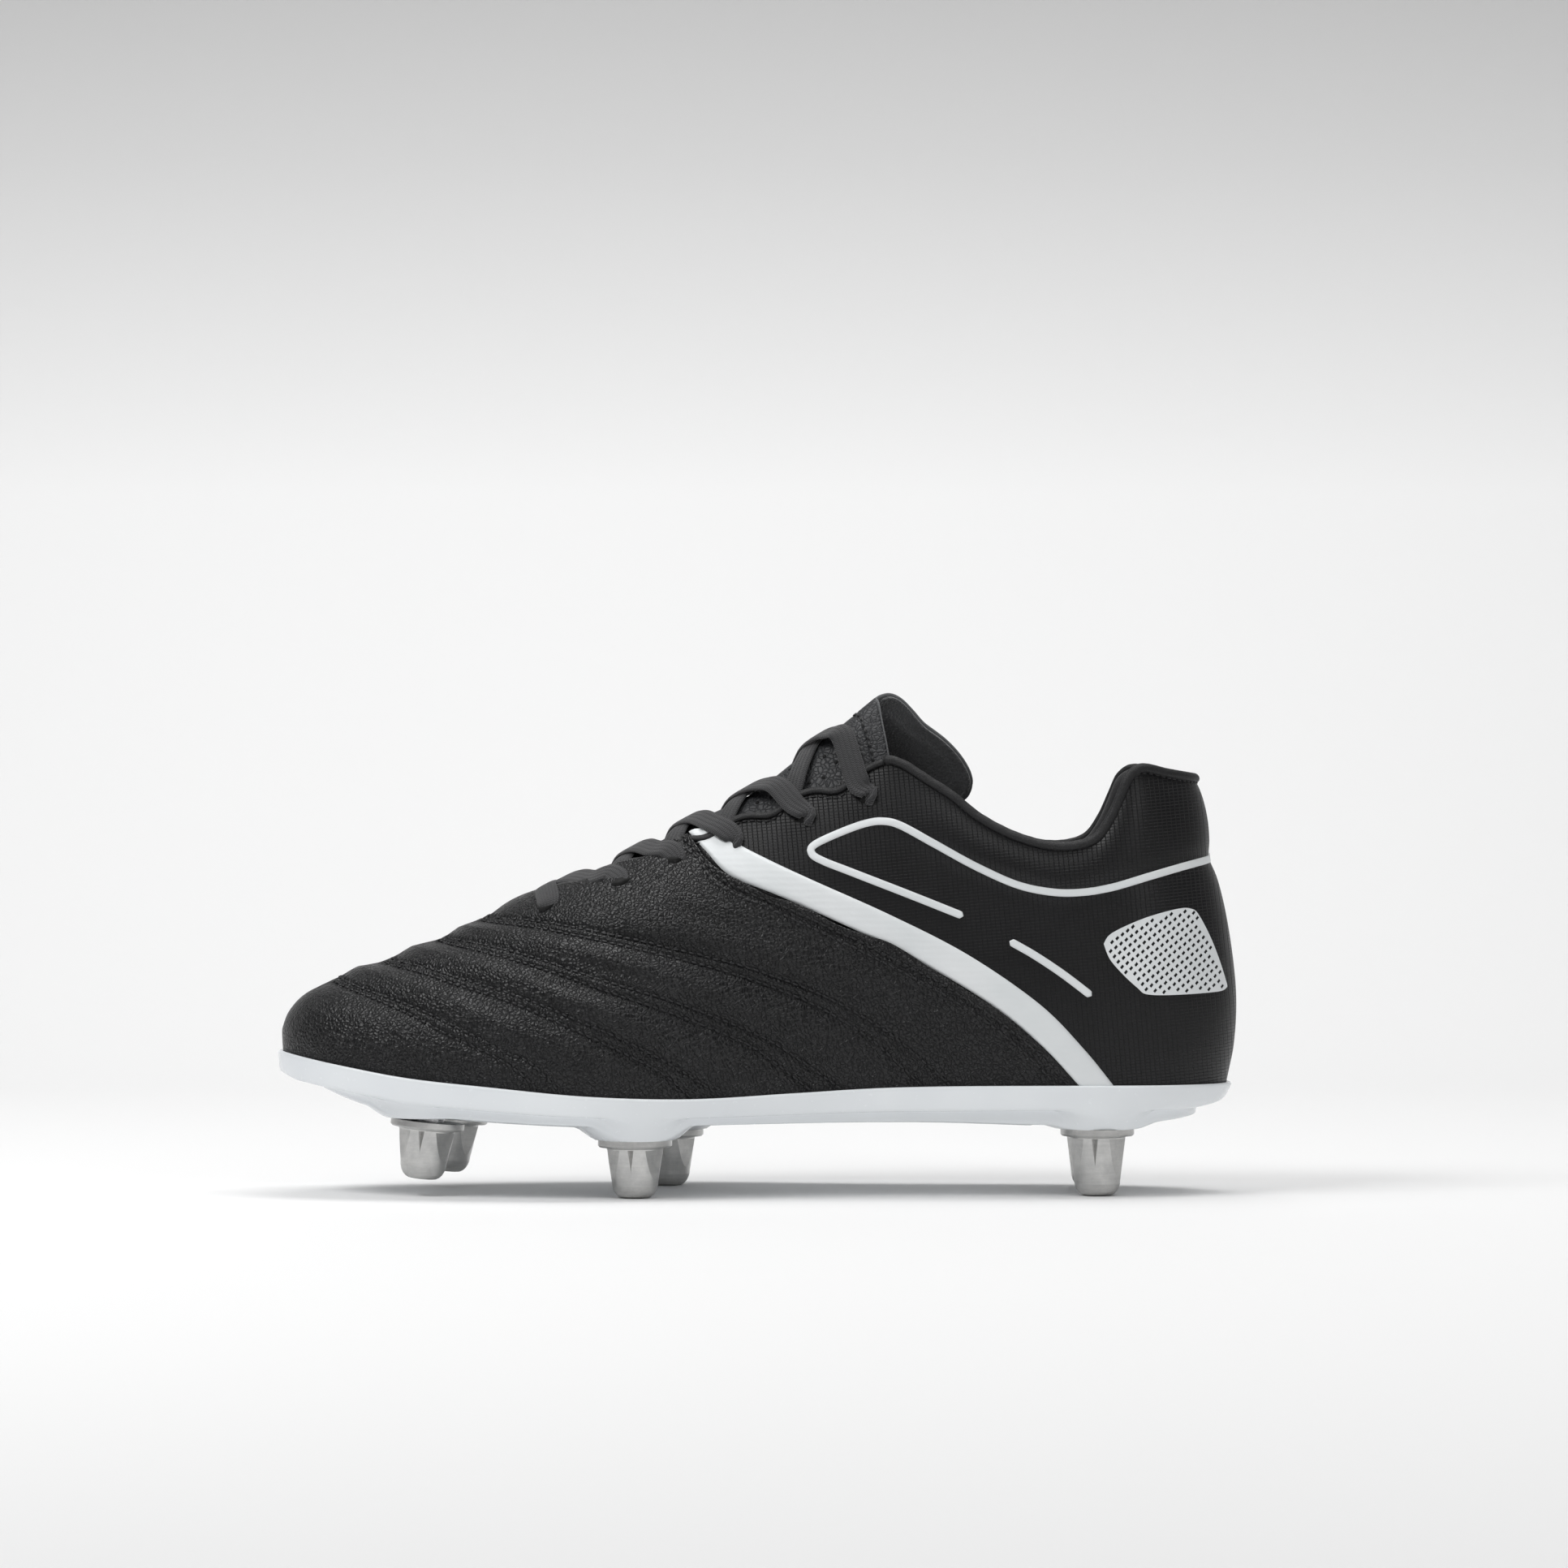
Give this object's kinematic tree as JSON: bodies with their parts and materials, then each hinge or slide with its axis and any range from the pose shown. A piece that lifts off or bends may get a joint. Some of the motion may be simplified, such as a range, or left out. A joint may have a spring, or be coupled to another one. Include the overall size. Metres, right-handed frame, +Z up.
{
  "type": "soccer cleat",
  "caption": "Low-cut right-foot soccer cleat with a quilted upper, laced tongue, moulded sole plate and screw-in studs that turn out on their threads.",
  "frame": {"origin": "on the ground, under the middle of the shoe's bounding box", "axes": "+X from toe to heel, -Y towards the medial (big-toe) side, +Z up"},
  "size_m": [0.2885, 0.0929, 0.1492],
  "materials": {
    "white_sole": "smooth moulded TPU",
    "steel": "plated",
    "board": "fibre board",
    "sock_foam": "knit-topped foam",
    "black_leather": "grained, quilted",
    "stiffener": "thermoplastic sheet",
    "lining": "knit textile",
    "black_synthetic": "embossed grid",
    "white_film": "satin film",
    "binding": "smooth rolled edge",
    "fleece": "brushed fleece",
    "lace_braid": "flat braid",
    "lace_tip": "clear-coated tip",
    "aluminium": "cast, satin"
  },
  "bodies": {
    "shoe": {"outsole_plate": "white_sole", "stud_inserts": "steel", "insole_board": "board", "sockliner": "sock_foam", "vamp": "black_leather", "toe_puff": "stiffener", "vamp_lining": "lining", "quarter_medial": "black_synthetic", "quarter_lateral": "black_synthetic", "stripe_medial": "white_film", "stripe_lateral": "white_film", "heel_counter": "stiffener", "quarter_lining": "lining", "collar_foam": "sock_foam", "topline_binding": "binding", "facing_medial": "black_synthetic", "facing_lateral": "black_synthetic", "lace": "lace_braid", "lace_tips": "lace_tip"},
    "tongue": {"tongue_cover": "black_leather", "tongue_padding": "fleece"},
    "pin_toe_medial": {"pin_toe_medial": "steel"},
    "stud_toe_medial": {"stud_toe_medial": "aluminium"},
    "pin_toe_lateral": {"pin_toe_lateral": "steel"},
    "stud_toe_lateral": {"stud_toe_lateral": "aluminium"},
    "pin_ball_medial": {"pin_ball_medial": "steel"},
    "stud_ball_medial": {"stud_ball_medial": "aluminium"},
    "pin_ball_lateral": {"pin_ball_lateral": "steel"},
    "stud_ball_lateral": {"stud_ball_lateral": "aluminium"},
    "pin_heel_medial": {"pin_heel_medial": "steel"},
    "stud_heel_medial": {"stud_heel_medial": "aluminium"},
    "pin_heel_lateral": {"pin_heel_lateral": "steel"},
    "stud_heel_lateral": {"stud_heel_lateral": "aluminium"}
  },
  "joints": [
    {"name": "tongue_press", "type": "hinge", "parent": "shoe", "child": "tongue", "pos_m": [-0.075, 0, 0.081], "axis": [0, 1, 0], "range_deg": [0, 5]},
    {"name": "toe_medial_travel", "type": "slide", "parent": "shoe", "child": "pin_toe_medial", "axis": [-0.1045, 0, -0.9945], "range_m": [0, 0.008]},
    {"name": "toe_medial_turn", "type": "hinge", "parent": "pin_toe_medial", "child": "stud_toe_medial", "pos_m": [-0.099, -0.0195, 0.0224], "axis": [-0.1045, 0, -0.9945], "range_deg": [0, 2881]},
    {"name": "toe_lateral_travel", "type": "slide", "parent": "shoe", "child": "pin_toe_lateral", "axis": [-0.1045, 0, -0.9945], "range_m": [0, 0.008]},
    {"name": "toe_lateral_turn", "type": "hinge", "parent": "pin_toe_lateral", "child": "stud_toe_lateral", "pos_m": [-0.094, 0.02, 0.0222], "axis": [-0.1045, 0, -0.9945], "range_deg": [0, 2881]},
    {"name": "ball_medial_travel", "type": "slide", "parent": "shoe", "child": "pin_ball_medial", "axis": [0, 0, -1], "range_m": [0, 0.008]},
    {"name": "ball_medial_turn", "type": "hinge", "parent": "pin_ball_medial", "child": "stud_ball_medial", "pos_m": [-0.037, -0.0285, 0.0173], "axis": [0, 0, -1], "range_deg": [0, 2881]},
    {"name": "ball_lateral_travel", "type": "slide", "parent": "shoe", "child": "pin_ball_lateral", "axis": [0, 0, -1], "range_m": [0, 0.008]},
    {"name": "ball_lateral_turn", "type": "hinge", "parent": "pin_ball_lateral", "child": "stud_ball_lateral", "pos_m": [-0.0285, 0.029, 0.0173], "axis": [0, 0, -1], "range_deg": [0, 2881]},
    {"name": "heel_medial_travel", "type": "slide", "parent": "shoe", "child": "pin_heel_medial", "axis": [0, 0, -1], "range_m": [0, 0.008]},
    {"name": "heel_medial_turn", "type": "hinge", "parent": "pin_heel_medial", "child": "stud_heel_medial", "pos_m": [0.1007, -0.0178, 0.0201], "axis": [0, 0, -1], "range_deg": [0, 2881]},
    {"name": "heel_lateral_travel", "type": "slide", "parent": "shoe", "child": "pin_heel_lateral", "axis": [0, 0, -1], "range_m": [0, 0.008]},
    {"name": "heel_lateral_turn", "type": "hinge", "parent": "pin_heel_lateral", "child": "stud_heel_lateral", "pos_m": [0.1015, 0.0178, 0.0201], "axis": [0, 0, -1], "range_deg": [0, 2881]}
  ],
  "couplings": [
    {"joint": "toe_medial_turn", "follows": "toe_medial_travel", "rad_per_m": 6283.2},
    {"joint": "toe_lateral_turn", "follows": "toe_lateral_travel", "rad_per_m": 6283.2},
    {"joint": "ball_medial_turn", "follows": "ball_medial_travel", "rad_per_m": 6283.2},
    {"joint": "ball_lateral_turn", "follows": "ball_lateral_travel", "rad_per_m": 6283.2},
    {"joint": "heel_medial_turn", "follows": "heel_medial_travel", "rad_per_m": 6283.2},
    {"joint": "heel_lateral_turn", "follows": "heel_lateral_travel", "rad_per_m": 6283.2}
  ]
}
